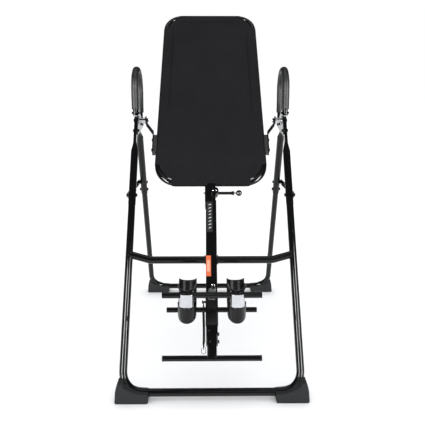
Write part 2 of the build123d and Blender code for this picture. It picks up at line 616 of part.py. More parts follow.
# ---- ankle holders ------------------------------------------------------------------------
def ankle_housing():
    boom_front = BOOM_T + BOOM[1] / 2
    side = BOOM[0] / 2 + FIT
    saddle = block(-HOUSING_HALF, HOUSING_HALF, HOUSING_END, HOUSING_TOP, -17, boom_front + 4)
    saddle -= block(-side, side, HOUSING_END - 1, HOUSING_TOP + 1, -40, boom_front + FIT)
    housing = saddle + block(-NOSE_HALF, NOSE_HALF, -880, -826, boom_front + 2, HOUSING_FRONT)
    half = SLIDE_W / 2 + 0.3
    housing -= block(-half, half, SLIDE_S - half, SLIDE_S + half, -60, 90)
    housing -= rod_s(60, REAR_BAR_S, BOOM_T, REAR_BAR_R + FIT)
    housing -= rod((0, SLIDE_S, PULL_T), (0, -800, PULL_T), 3.1)
    save("ankle_housing", TABLE * housing)

    save("rear_ankle_bar", TABLE * rod_s(REAR_BAR_HALF, REAR_BAR_S, BOOM_T, REAR_BAR_R))

    slide = block(-SLIDE_W / 2, SLIDE_W / 2, SLIDE_S - SLIDE_W / 2, SLIDE_S + SLIDE_W / 2, -22, 126)
    slide -= block(-SLIDE_W / 2 + 2, SLIDE_W / 2 - 2, SLIDE_S - SLIDE_W / 2 + 2,
                   SLIDE_S + SLIDE_W / 2 - 2, -23, 120)
    for k in range(-5, 2):
        slide -= rod((0, SLIDE_S, PULL_T + 10 * k), (0, -800, PULL_T + 10 * k), 3.3)
    head = block(-12, 12, -872, -832, 122, 134)
    head -= rod_s(60, FRONT_BAR_S, FRONT_BAR_T, FRONT_BAR_R)
    save("ankle_slide_tube", TABLE * (slide + head))
    bar = rod_s(FRONT_BAR_HALF, FRONT_BAR_S, FRONT_BAR_T, FRONT_BAR_R)
    save("front_ankle_bar", TABLE * bar)

    pin = rod((0, SLIDE_S + 4, PULL_T), (0, -818, PULL_T), 3.0)
    loop = [(0, -820), (0, -784), (12, -784), (12, -814)]
    loop_path = FilletPolyline(*[(x, s, PULL_T) for x, s in loop], radius=5)
    pull = pin + swept(loop_path, 2.2) + Pos(12, -817, PULL_T) * Sphere(4.5)
    save("ankle_pull_pin", TABLE * pull)


def cup_section(half, depth, channel, inner_half):
    """A deep U open towards +y: half an ellipse with a smaller one cut out of its mouth."""
    body = Ellipse(half, depth) - Pos(0, depth) * Rectangle(4 * half, 2 * depth)
    return body - Ellipse(inner_half, channel)


def bar_point(s, t):
    """(y, z) in the row frame of a point of the table's centre plane."""
    y = PIVOT_Y + s * RECLINE_SIN - t * RECLINE_COS
    return (y, PIVOT_Z + s * RECLINE_COS + t * RECLINE_SIN)


def front_cups():
    bar_y, bar_z = bar_point(FRONT_BAR_S, FRONT_BAR_T)
    tips_y = bar_y + (CUP_DEPTH + CUP_CHANNEL) / 2
    top = bar_z + CUP_ABOVE
    waist_top = top - CUP_TOP_FLARE
    waist_low = waist_top - CUP_WAIST
    level = Plane(origin=(CUP_X, tips_y, 0), x_dir=(1, 0, 0), z_dir=(0, 0, 1))
    ankle = Ellipse(CUP_HALF - CUP_WALL, CUP_CHANNEL)
    flare = cup_section(CUP_HALF, CUP_DEPTH, CUP_CHANNEL, CUP_HALF - CUP_WALL)

    def slab(sketch, z0, z1):
        return extrude(level.offset(z0) * sketch, amount=z1 - z0)

    def waist(half, depth, corner):
        return Pos(0, -CUP_DEPTH / 2 - 0.5) * RectangleRounded(2 * half, depth, corner)

    neck = waist(CUP_WAIST_HALF - 2, CUP_DEPTH - 3, 16) - ankle
    cup = slab(flare, waist_top, top) + slab(neck, waist_low, waist_top)
    cup += slab(flare, top - CUP_LENGTH, waist_low)
    cup -= lip_scoop(tips_y, top) + rod_x(0, 200, bar_y, bar_z, FRONT_BAR_R + 0.1)
    save_pair("front_cup", largest(cup))

    band = waist(CUP_WAIST_HALF, CUP_DEPTH + 1, 18)
    band -= waist(CUP_WAIST_HALF - 1.9, CUP_DEPTH - 2.8, 16.1)
    ring = slab(band - ankle, waist_low + 0.1, waist_top - 0.1)
    ring -= rod_x(0, 200, bar_y, bar_z, FRONT_BAR_R + 0.3)
    save_pair("front_cup_band", largest(ring))


def lip_scoop(tips_y, top):
    """The cylinder that hollows the top lip of a front cup down to CUP_SCOOP in the middle."""
    radius = (CUP_HALF ** 2 + CUP_SCOOP ** 2) / (2 * CUP_SCOOP)
    z = top - CUP_SCOOP + radius
    return rod((CUP_X, tips_y - 200, z), (CUP_X, tips_y + 200, z), radius)


def rear_cups():
    """Shells behind the ankles, drawn in (x, s, t) with their mouths towards the user."""
    section = cup_section(CUP_HALF - 1, REAR_CUP_DEPTH, REAR_CUP_CHANNEL, CUP_HALF - 5)
    level = Plane(origin=(CUP_X, REAR_CUP_S, REAR_CUP_MOUTH), x_dir=(1, 0, 0), z_dir=(0, 1, 0))
    shell = extrude(level * mirror(section, about=Plane.XZ), amount=REAR_CUP_LENGTH)
    shell -= rod_s(200, REAR_BAR_S, BOOM_T, REAR_BAR_R + 0.1)
    save_pair("rear_cup", TABLE * largest(shell))


# ---- tether -------------------------------------------------------------------------------
def tether():
    x0, x1 = TETHER_X - TETHER_T / 2, TETHER_X + TETHER_T / 2
    top, low = TETHER_Z + 10, TETHER_Z - TETHER_LENGTH
    strap = block(x0, x1, TETHER_Y - TETHER_W / 2, TETHER_Y + TETHER_W / 2, low, top)
    strap -= rod_x(x0 - 1, x1 + 1, TETHER_Y, TETHER_Z, 4.1)
    strap -= rod_x(x0 - 1, x1 + 1, TETHER_Y, low + 8, 5.0)
    save("tether_strap", strap)

    link = FilletPolyline(
        (TETHER_X, TETHER_Y, low + 8), (TETHER_X - 8, TETHER_Y, low + 8),
        (TETHER_X - 8, TETHER_Y, low - 22), (TETHER_X + 8, TETHER_Y, low - 22),
        (TETHER_X + 8, TETHER_Y, low + 8), (TETHER_X + 1.5, TETHER_Y, low + 8), radius=6)
    save("tether_hook", swept(link, 1.9))


front_frame()
apex()
handles()
rear_frame()
rear_bolts()
spreader()
backrest_rails()
backrest_frame()
fabric()
swing_arms()
boom()
foot_bar()
boom_face_pieces()
pin_parts()
ankle_housing()
front_cups()
rear_cups()
tether()
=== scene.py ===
import math

import bmesh
import bpy
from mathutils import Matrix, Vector


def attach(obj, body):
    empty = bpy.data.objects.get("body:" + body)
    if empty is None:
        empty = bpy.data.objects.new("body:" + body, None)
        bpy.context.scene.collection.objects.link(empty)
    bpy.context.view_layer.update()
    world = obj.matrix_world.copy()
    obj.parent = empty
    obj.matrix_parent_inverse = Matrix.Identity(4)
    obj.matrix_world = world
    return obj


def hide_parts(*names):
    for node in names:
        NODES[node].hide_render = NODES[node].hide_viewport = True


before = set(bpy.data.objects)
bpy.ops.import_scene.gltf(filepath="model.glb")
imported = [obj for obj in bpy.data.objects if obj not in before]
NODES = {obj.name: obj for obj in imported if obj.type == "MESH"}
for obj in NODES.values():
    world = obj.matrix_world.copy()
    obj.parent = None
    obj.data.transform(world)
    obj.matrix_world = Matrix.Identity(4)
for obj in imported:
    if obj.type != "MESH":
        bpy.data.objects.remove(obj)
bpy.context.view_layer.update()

MM = 0.001

# ---- the part's driving dimensions that the soft and detailed pieces follow, in millimetres ----
RECLINE = math.radians(38.0)
PIVOT = Vector((0.0, 70.0, 993.0))
ACROSS = Vector((1.0, 0.0, 0.0))
ALONG = Vector((0.0, math.sin(RECLINE), math.cos(RECLINE)))
OUTWARD = Vector((0.0, -math.cos(RECLINE), math.sin(RECLINE)))
RAIL_T = -11.0
RAIL_TOP, RAIL_BOTTOM = 629.0, -317.5
RAIL_HALF_TOP, RAIL_HALF_BOTTOM = 211.5, 230.0
BOOM_T = -13.0
POST_HALF = 19.2


def table(x, s, t):
    """A point of the backrest, in metres in the row frame."""
    return (PIVOT + ACROSS * x + ALONG * s + OUTWARD * t) * MM


def rail_half(s):
    share = (s - RAIL_BOTTOM) / (RAIL_TOP - RAIL_BOTTOM)
    return RAIL_HALF_BOTTOM + (RAIL_HALF_TOP - RAIL_HALF_BOTTOM) * share


def smooth_step(a, b, x):
    f = min(1.0, max(0.0, (x - a) / (b - a)))
    return f * f * (3 - 2 * f)


# ---- camera, floor and light ---------------------------------------------------------------
def camera():
    data = bpy.data.cameras.new("camera")
    data.sensor_width, data.lens = 36.0, 45.70
    data.clip_start, data.clip_end = 0.05, 2000.0
    cam = bpy.data.objects.new("camera", data)
    cam.location = (-0.0195, -2.3861, 1.0831)
    cam.rotation_euler = (math.radians(78.21), 0.0, math.radians(-0.665))
    bpy.context.scene.collection.objects.link(cam)
    bpy.context.scene.camera = cam


def area_light(name, place, target, size, power, gloss_only=False):
    data = bpy.data.lights.new(name, "AREA")
    data.shape = "RECTANGLE"
    data.size, data.size_y = size
    data.energy = power
    lamp = bpy.data.objects.new(name, data)
    lamp.location = place
    lamp.visible_diffuse = not gloss_only
    lamp.rotation_euler = (Vector(target) - Vector(place)).to_track_quat("-Z", "Y").to_euler()
    bpy.context.scene.collection.objects.link(lamp)


def studio():
    world = bpy.data.worlds.new("studio")
    bpy.context.scene.world = world
    world.use_nodes = True
    tree = world.node_tree
    path = tree.nodes.new("ShaderNodeLightPath")
    shown = tree.nodes["Background"]
    shown.inputs["Color"].default_value = (1.0, 1.0, 1.0, 1.0)
    shown.inputs["Strength"].default_value = 1.0
    for seen_by, colour, strength in (("Is Diffuse Ray", (0.985, 0.99, 1.0, 1.0), 1.24),
                                      ("Is Glossy Ray", (0.9, 0.95, 1.0, 1.0), 0.03)):
        glow = tree.nodes.new("ShaderNodeBackground")
        glow.inputs["Color"].default_value = colour
        glow.inputs["Strength"].default_value = strength
        mix = tree.nodes.new("ShaderNodeMixShader")
        tree.links.new(path.outputs[seen_by], mix.inputs[0])
        tree.links.new(shown.outputs[0], mix.inputs[1])
        tree.links.new(glow.outputs[0], mix.inputs[2])
        shown = mix
    tree.links.new(shown.outputs[0], tree.nodes["World Output"].inputs[0])
    bpy.context.scene.view_settings.view_transform = "Standard"

    area_light("overhead", (0.0, 0.2, 3.4), (0.0, 0.0, 0.4), (1.6, 1.6), 10)
    area_light("left_box", (-1.9, -2.5, 1.5), (0.0, 0.0, 0.8), (0.5, 2.6), 190, gloss_only=True)
    area_light("right_box", (2.3, -2.4, 1.7), (0.0, 0.0, 0.8), (0.5, 2.6), 200, gloss_only=True)
    area_light("front_fill", (0.4, -3.4, 2.9), (0.0, 0.0, 0.7), (1.4, 0.3), 5)

    bpy.ops.mesh.primitive_plane_add(size=1200, location=(0, 0, 0))
    floor = bpy.context.object
    floor.name = "floor"
    floor.data.materials.append(finish("floor_paint", 0.93, 0.935, 0.94, rough=(0.85, 0.95),
                                       cloud=1.2, vary=0.01, grain=(60, 0.02),
                                       Specular_IOR_Level=0.1))


# ---- materials ------------------------------------------------------------------------------
class Shader:
    """A Principled material built from small steps; every texture is read in object coordinates."""

    def __init__(self, name, **fixed):
        self.mat = bpy.data.materials.new(name)
        self.mat.use_nodes = True
        self.tree = self.mat.node_tree
        self.bsdf = self.tree.nodes["Principled BSDF"]
        for socket, value in fixed.items():
            self.bsdf.inputs[socket.replace("_", " ")].default_value = value
        self.place = self.node("ShaderNodeTexCoord").outputs["Object"]

    def node(self, kind, **props):
        made = self.tree.nodes.new(kind)
        for key, value in props.items():
            setattr(made, key, value)
        return made

    def link(self, source, target):
        if isinstance(source, (int, float)):
            target.default_value = source
        else:
            self.tree.links.new(source, target)

    def turned(self, rotation=(0, 0, 0), scale=(1, 1, 1)):
        mapping = self.node("ShaderNodeMapping")
        mapping.inputs["Rotation"].default_value = rotation
        mapping.inputs["Scale"].default_value = scale
        self.link(self.place, mapping.inputs["Vector"])
        return mapping.outputs[0]

    def noise(self, scale, detail=3.0, place=None):
        made = self.node("ShaderNodeTexNoise")
        made.inputs["Scale"].default_value = scale
        made.inputs["Detail"].default_value = detail
        self.link(place or self.place, made.inputs["Vector"])
        return made.outputs["Fac"]

    def cells(self, scale):
        made = self.node("ShaderNodeTexVoronoi")
        made.inputs["Scale"].default_value = scale
        self.link(self.place, made.inputs["Vector"])
        return made.outputs["Distance"]

    def math(self, operation, a, b=0.0):
        made = self.node("ShaderNodeMath", operation=operation)
        self.link(a, made.inputs[0])
        self.link(b, made.inputs[1])
        return made.outputs[0]

    def between(self, fac, low, high):
        made = self.node("ShaderNodeMapRange")
        made.inputs["From Min"].default_value, made.inputs["From Max"].default_value = 0.3, 0.7
        made.inputs["To Min"].default_value, made.inputs["To Max"].default_value = low, high
        self.link(fac, made.inputs["Value"])
        return made.outputs["Result"]

    def blend(self, fac, first, second):
        made = self.node("ShaderNodeMix", data_type="RGBA")
        self.link(fac, made.inputs[0])
        for value, socket in ((first, made.inputs[6]), (second, made.inputs[7])):
            if isinstance(value, tuple):
                socket.default_value = (*value, 1.0)
            else:
                self.link(value, socket)
        return made.outputs[2]

    def colour(self, source):
        self.link(source, self.bsdf.inputs["Base Color"])

    def rough(self, source):
        self.link(source, self.bsdf.inputs["Roughness"])

    def bump(self, layers, edge=0.0):
        """Bump from (height, strength, depth in metres) layers, over softened edges."""
        normal = None
        if edge:
            soft = self.node("ShaderNodeBevel", samples=4)
            soft.inputs["Radius"].default_value = edge
            normal = soft.outputs[0]
        for height, strength, depth in layers:
            made = self.node("ShaderNodeBump")
            made.inputs["Strength"].default_value = strength
            made.inputs["Distance"].default_value = depth
            self.link(height, made.inputs["Height"])
            if normal is not None:
                self.link(normal, made.inputs["Normal"])
            normal = made.outputs[0]
        self.link(normal, self.bsdf.inputs["Normal"])


def finish(name, r, g, b, rough, metal=0.0, cloud=9.0, vary=0.25, grain=(700, 0.1), edge=0.0,
           dust=0.0, **fixed):
    """A hard finish: cloudy colour and gloss, a fine grain, softened edges and settled dust."""
    shader = Shader(name, Metallic=metal, **fixed)
    base, dark = (r, g, b), (r * (1 - vary), g * (1 - vary), b * (1 - vary))
    cloudy = shader.noise(cloud, 4.0)
    colour = shader.blend(shader.between(cloudy, 0, 1), dark, base)
    if dust:
        specks = shader.between(shader.noise(cloud * 23, 6.0), 0, dust)
        colour = shader.blend(specks, colour, (0.30, 0.30, 0.29))
    shader.colour(colour)
    shader.rough(shader.between(shader.noise(cloud * 2.7, 5.0), *rough))
    shader.bump([(shader.noise(grain[0], 2.0), grain[1], 0.0003)], edge)
    return shader.mat


def woven(name, colour, pitch, depth, rotation=(0, 0, 0), rough=(0.78, 0.92), sheen=0.012):
    """A plain weave: two crossing sets of yarns with fuzz, uneven dye and a painted highlight on the raised
    crossings.
    """
    shader = Shader(name, Sheen_Weight=sheen, Sheen_Roughness=0.45, Sheen_Tint=(0.75, 0.77, 0.85, 1),
                    Specular_IOR_Level=0.12)
    axes = shader.node("ShaderNodeSeparateXYZ")
    shader.link(shader.turned(rotation), axes.inputs[0])
    turn = 2 * math.pi / pitch
    waves = [shader.math("SINE", shader.math("MULTIPLY", axis, turn)) for axis in axes.outputs[:2]]
    fine = [shader.math("SINE", shader.math("MULTIPLY", axis, turn * 2)) for axis in axes.outputs[:2]]
    crossing = shader.math("MULTIPLY", *waves)
    yarns = shader.math("MULTIPLY", *fine)
    height = shader.math("ADD", crossing, shader.math("MULTIPLY", yarns, 0.4))
    dye = shader.between(shader.noise(7.0, 5.0), 0.0, 1.0)
    light = tuple(min(1.0, c * 1.5) for c in colour)
    shaded = shader.blend(dye, colour, light)
    # The raised yarn crossings are painted lighter than the dips between them: a painted highlight that
    # follows the bump height.
    painted_crown_highlight = shader.math("MULTIPLY_ADD", crossing, 0.5)
    painted_crown_highlight.node.inputs[2].default_value = 0.5
    shader.colour(shader.blend(shader.math("MULTIPLY", painted_crown_highlight, 0.35), shaded, light))
    shader.rough(shader.between(shader.noise(120, 4.0), *rough))
    shader.bump([(height, 0.55, depth), (shader.noise(1600, 2.0), 0.12, 0.0002)])
    return shader.mat


def foam(name):
    """Closed-cell grip foam: fine cells, a faint skin and slight scuffing."""
    shader = Shader(name, Sheen_Weight=0.02, Sheen_Roughness=0.5, Specular_IOR_Level=0.5)
    cells = shader.cells(850)
    cloudy = shader.between(shader.noise(18, 5.0), 0.0, 1.0)
    skin = shader.blend(cloudy, (0.007, 0.0075, 0.0085), (0.013, 0.014, 0.016))
    pores = shader.blend(shader.math("MULTIPLY", cells, 0.6), skin, (0.004, 0.004, 0.0045))
    shader.colour(pores)
    shader.rough(shader.between(shader.noise(45, 4.0), 0.44, 0.56))
    shader.bump([(cells, 0.20, 0.0004), (shader.noise(90, 3.0), 0.12, 0.0010)])
    return shader.mat


def brushed(name, colour, rough, rotation=(0, 0, 0), stretch=(1, 1, 40), edge=0.0005):
    """Bright metal with fine drawn lines and a few smudges."""
    shader = Shader(name, Metallic=1.0)
    lines = shader.noise(260, 3.0, shader.turned(rotation, stretch))
    smudge = shader.noise(34, 5.0)
    dull = tuple(c * 0.86 for c in colour)
    shader.colour(shader.blend(shader.between(smudge, 0, 1), dull, colour))
    mixed = shader.math("ADD", shader.math("MULTIPLY", lines, 0.5), shader.math("MULTIPLY", smudge, 0.5))
    shader.rough(shader.between(mixed, *rough))
    shader.bump([(lines, 0.05, 0.0002)], edge)
    return shader.mat


ON_TABLE = (RECLINE - math.pi / 2, 0.0, 0.0)


def label_film(name):
    """The orange film on the boom: a paler panel, no lettering."""
    shader = Shader(name, Coat_Weight=0.4, Coat_Roughness=0.2)
    axes = shader.node("ShaderNodeSeparateXYZ")
    shader.link(shader.turned(ON_TABLE), axes.inputs[0])
    along = shader.math("SUBTRACT", axes.outputs[1], (PIVOT.dot(ALONG) - 695.0) * MM)
    across = shader.math("SUBTRACT", axes.outputs[0], -11.5 * MM)
    panel = shader.math("MULTIPLY",
                        shader.math("LESS_THAN", shader.math("ABSOLUTE", along), 24 * MM),
                        shader.math("LESS_THAN", shader.math("ABSOLUTE", across), 6 * MM))
    fade = shader.between(shader.noise(60, 4.0), 0.0, 0.25)
    orange = shader.blend(fade, (0.86, 0.15, 0.035), (0.70, 0.10, 0.02))
    shader.colour(shader.blend(shader.math("MULTIPLY", panel, 0.55), orange, (0.95, 0.62, 0.45)))
    shader.rough(shader.between(shader.noise(150, 3.0), 0.28, 0.42))
    shader.bump([(shader.noise(500, 2.0), 0.05, 0.0001)])
    return shader.mat


MATS = {
    "coat": finish("black_powder_coat", 0.005, 0.005, 0.0055, (0.06, 0.11), cloud=7,
                   grain=(900, 0.05), edge=0.0008, dust=0.004, Coat_Weight=0.1,
                   Coat_Roughness=0.06, Specular_IOR_Level=0.27),
    "cup_rubber": finish("cup_rubber", 0.005, 0.005, 0.006, (0.24, 0.34), cloud=16,
                         grain=(600, 0.12), edge=0.0015, dust=0.004, Specular_IOR_Level=0.25),
    "foot_rubber": finish("foot_rubber", 0.018, 0.021, 0.022, (0.50, 0.68), cloud=14,
                          grain=(420, 0.25), edge=0.0025, dust=0.03, Specular_IOR_Level=0.2),
    "moulded": finish("moulded_rubber", 0.008, 0.008, 0.009, (0.34, 0.48), cloud=18,
                      grain=(500, 0.18), edge=0.0010, dust=0.005, Specular_IOR_Level=0.25),
    "oxide": finish("black_oxide", 0.020, 0.020, 0.021, (0.28, 0.42), metal=0.6, cloud=60,
                    grain=(900, 0.10), edge=0.0006, dust=0.01),
    "nylon": finish("nylon", 0.018, 0.018, 0.019, (0.36, 0.48), cloud=30, grain=(700, 0.08),
                    edge=0.0005),
    "ball": finish("ball_plastic", 0.006, 0.006, 0.007, (0.07, 0.13), cloud=40,
                   grain=(300, 0.02), Coat_Weight=0.8, Coat_Roughness=0.05),
    "plate": finish("scale_plate", 0.020, 0.020, 0.021, (0.30, 0.42), cloud=26,
                    grain=(600, 0.08), edge=0.0004),
    "mark": finish("scale_mark", 0.78, 0.79, 0.80, (0.35, 0.5), cloud=80, vary=0.12,
                   grain=(800, 0.05)),
    "cloth": woven("backrest_cloth", (0.0052, 0.0050, 0.0065), 0.0015, 0.00035, ON_TABLE),
    "binding": woven("cloth_binding", (0.0045, 0.0045, 0.0050), 0.0008, 0.0002, ON_TABLE),
    "thread": woven("stitch_thread", (0.010, 0.010, 0.012), 0.0004, 0.0001, ON_TABLE),
    "webbing": woven("webbing", (0.005, 0.005, 0.0055), 0.0016, 0.0004, (0, math.radians(90), 0)),
    "foam": foam("grip_foam"),
    "chrome": brushed("chrome_plate", (0.66, 0.67, 0.69), (0.05, 0.12)),
    "steel": brushed("bright_steel", (0.62, 0.63, 0.65), (0.16, 0.30)),
    "label": label_film("orange_label"),
}

WEARS = {
    "coat": [
        "front_base_tube", "front_upper_tube_left", "front_upper_tube_right", "front_crossbar",
        "pivot_bracket_left", "pivot_bracket_right", "handle_tube_left", "handle_tube_right",
        "rear_base_tube", "rear_upper_tube_left", "rear_upper_tube_right", "spreader_front_arms",
        "spreader_rear_arms", "backrest_upper_rail", "backrest_lower_rail_left",
        "backrest_lower_rail_right", "backrest_cross_tube", "backrest_post", "swing_arm_left",
        "swing_arm_right", "boom_tube", "boom_inner_shaft", "foot_tube", "foot_bar",
        "rear_ankle_bar", "front_ankle_bar", "pin_barrel",
    ],
    "foot_rubber": ["front_foot_left", "front_foot_right", "rear_foot_left", "rear_foot_right"],
    "moulded": ["crossbar_bumper", "foot_bar_caps", "ankle_housing"],
    "cup_rubber": ["front_cup_left", "front_cup_right", "rear_cup_left", "rear_cup_right"],
    "oxide": ["front_frame_bolts", "rear_frame_bolts", "swing_arm_bolts", "boom_bolts"],
    "nylon": ["rail_saddles"],
    "plate": ["height_scale"],
    "label": ["caution_label"],
    "ball": ["height_pin_ball"],
    "chrome": ["pivot_bushes", "pivot_axle_left", "pivot_axle_right", "front_cup_band_left",
               "front_cup_band_right", "ankle_pull_pin", "tether_hook"],
    "steel": ["height_pin", "ankle_slide_tube"],
}


def wear_finishes():
    for finish_name, names in WEARS.items():
        for name in names:
            data = NODES[name].data
            data.materials.clear()
            data.materials.append(MATS[finish_name])


# ---- mesh helpers ---------------------------------------------------------------------------
def add_piece(name, verts, faces, mat, body, smooth=True):
    data = bpy.data.meshes.new(name)
    data.from_pydata([tuple(v) for v in verts], [], faces)
    data.update()
    piece = bpy.data.objects.new(name, data)
    bpy.context.scene.collection.objects.link(piece)
    for polygon in data.polygons:
        polygon.use_smooth = smooth
    data.materials.append(MATS[mat])
    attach(piece, body)
    return piece


def tidy_mesh(piece, subdivide=0, thickness=0.0):
    """Bakes the modifiers into the mesh, so the shape is all in its vertices."""
    if thickness:
        shell = piece.modifiers.new("shell", "SOLIDIFY")
        shell.thickness, shell.offset, shell.use_even_offset = thickness, 0.0, False
    if subdivide:
        round_off = piece.modifiers.new("round", "SUBSURF")
        round_off.levels = round_off.render_levels = subdivide
    graph = bpy.context.evaluated_depsgraph_get()
    graph.update()
    made = bpy.data.meshes.new_from_object(piece.evaluated_get(graph))
    piece.modifiers.clear()
    old = piece.data
    piece.data = made
    bpy.data.meshes.remove(old)
    made.name = piece.name
    return piece


def loop_faces(rings, count, closed=True):
    faces = []
    for ring in range(rings - 1):
        for k in range(count if closed else count - 1):
            a, b = ring * count + k, ring * count + (k + 1) % count
            faces.append((a, b, b + count, a + count))
    return faces


# ---- handle grips ---------------------------------------------------------------------------
HANDLE_X, HANDLE_NEAR, HANDLE_FAR, HANDLE_TOP, HANDLE_BEND = 336.3, 70.0, 270.0, 1217.0, 92.0
GRIP_NEAR_END, GRIP_FAR_END = 1041.0, 1022.0
GRIP_R, TUBE_R = 15.2, 11.2


def grip_line():
    """The grip's centre line, in (y, z): up, over and down."""
    points = []
    for k in range(9):
        points.append((HANDLE_NEAR, GRIP_NEAR_END + (HANDLE_TOP - HANDLE_BEND - GRIP_NEAR_END) * k / 8))
    for centre, start, end in (((HANDLE_NEAR + HANDLE_BEND), 180, 90), ((HANDLE_FAR - HANDLE_BEND), 90, 0)):
        for k in range(1 if start == 180 else 0, 19):
            turn = math.radians(start + (end - start) * k / 18)
            points.append((centre + HANDLE_BEND * math.cos(turn),
                           HANDLE_TOP - HANDLE_BEND + HANDLE_BEND * math.sin(turn)))
    for k in range(1, 10):
        points.append((HANDLE_FAR, HANDLE_TOP - HANDLE_BEND
                       - (HANDLE_TOP - HANDLE_BEND - GRIP_FAR_END) * k / 9))
    return points


def grip(side, word):
    centre = [Vector((side * HANDLE_X, y, z)) for y, z in grip_line()]
    lip = 3.5
    first = (centre[1] - centre[0]).normalized()
    last = (centre[-1] - centre[-2]).normalized()
    points, radii = [], []
    for k in range(5):
        turn = math.radians(90 * k / 4)
        points.append(centre[0] + first * (lip - lip * math.cos(turn)))
        radii.append(GRIP_R - lip + lip * math.sin(turn))
    for k, point in enumerate(centre[1:-1]):
        points.append(point)
        radii.append(GRIP_R + 0.22 * math.sin(k * 1.7) + 0.15 * math.sin(k * 0.61 + side))
    for k in range(5):
        turn = math.radians(90 - 90 * k / 4)
        points.append(centre[-1] - last * (lip - lip * math.cos(turn)))
        radii.append(GRIP_R - lip + lip * math.sin(turn))
    points = [points[0] + first * 3.0, points[0]] + points + [points[-1], points[-1] - last * 3.0]
    radii = [TUBE_R, TUBE_R] + radii + [TUBE_R, TUBE_R]
    count = 36
    verts = [v * MM for v in tube_rings_steady(points, radii, count, centre)]
    piece = add_piece(f"handle_grip_{word}", verts, loop_faces(len(points), count), "foam",
                      "front_frame")
    tidy_mesh(piece, subdivide=1)
    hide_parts(f"handle_foam_{word}")


def tube_rings_steady(points, radii, count, centre):
    """Rings square to a flat centre line, even where neighbouring rings share a point."""
    verts = []
    for k, point in enumerate(points):
        near = min(range(len(centre)), key=lambda i: (centre[i] - point).length)
        ahead = centre[min(near + 1, len(centre) - 1)] - centre[max(near - 1, 0)]
        way = ahead.normalized()
        side = ACROSS
        other = way.cross(side).normalized()
        for step in range(count):
            turn = 2 * math.pi * step / count
            verts.append(point + (side * math.cos(turn) + other * math.sin(turn)) * radii[k])
    return verts


# ---- backrest cover -------------------------------------------------------------------------
CROSS_TUBE_S = -45.0
CLOTH_R = 13.3                    # middle of the cloth round a rail
CLOTH_T = RAIL_T + CLOTH_R
CLOTH_THICK = 1.1
SLEEVE_LOW, SLEEVE_HIGH = RAIL_BOTTOM + 86, RAIL_TOP - 72
TUNNEL_LOW, TUNNEL_HIGH = 166.0, 153.0
SEAM_IN = 34.0                    # how far a sleeve's seam lies inside its rail
COLUMNS, WRAP = 52, 12
BOTTOM_CORNER, TOP_CORNER = (85.0, 145.0), (75.0, 136.5)   # a rail corner's radius and its centre's x
DIP_BOTTOM, DIP_TOP = 11.0, 6.0   # how far the cloth falls back at a corner


# Each end of the cover: where its side sleeves stop, the rail, the straight run's half length, the
# rail's corner centre, the radius that the cloth reaches there, and half the end tunnel.
ENDS = (
    (SLEEVE_LOW, RAIL_BOTTOM, BOTTOM_CORNER[1], RAIL_BOTTOM + BOTTOM_CORNER[0], 74.5, TUNNEL_LOW),
    (SLEEVE_HIGH, RAIL_TOP, TOP_CORNER[1], RAIL_TOP - TOP_CORNER[0], 64.5, TUNNEL_HIGH),
)


def cover_half(s):
    """Half the width of the flat cloth at s: out to the rails, and inside their rounded corners."""
    for sleeve, rail, x, centre, reach, tunnel in ENDS:
        way = 1 if rail > sleeve else -1
        if (s - sleeve) * way > 0.1:
            past = max(0.0, (s - centre) * way)
            return max(tunnel, x + math.sqrt(max(0.0, reach ** 2 - past ** 2)))
    return rail_half(s)


def corner_dip(x, s):
    """How far the cloth falls back behind the crease between a sleeve's end and an end tunnel."""
    for sleeve, rail, _, _, _, tunnel in ENDS:
        if (s - sleeve) * (rail - sleeve) > 0:
            start, end = Vector((rail_half(sleeve), sleeve)), Vector((tunnel, rail))
            way, place = (end - start).normalized(), Vector((abs(x), s)) - start
            past = (place.y * way.x - place.x * way.y) * (-1 if rail > sleeve else 1)
            return (DIP_BOTTOM if rail < 0 else DIP_TOP) * smooth_step(-1.0, 6.0, past)
    return 0.0


def cover_rows():
    rows = []
    for low, high, count in ((RAIL_BOTTOM, SLEEVE_LOW, 22), (SLEEVE_LOW, SLEEVE_HIGH, 84),
                             (SLEEVE_HIGH, RAIL_TOP, 18)):
        rows += [low + (high - low) * k / count for k in range(count)]
    return rows + [RAIL_TOP]


def flap_rise(f):
    """How far a flap has come up from behind its rail, a share f of the way to its seam."""
    return (2 * CLOTH_R - CLOTH_THICK * 1.15) * smooth_step(0, 1, f)


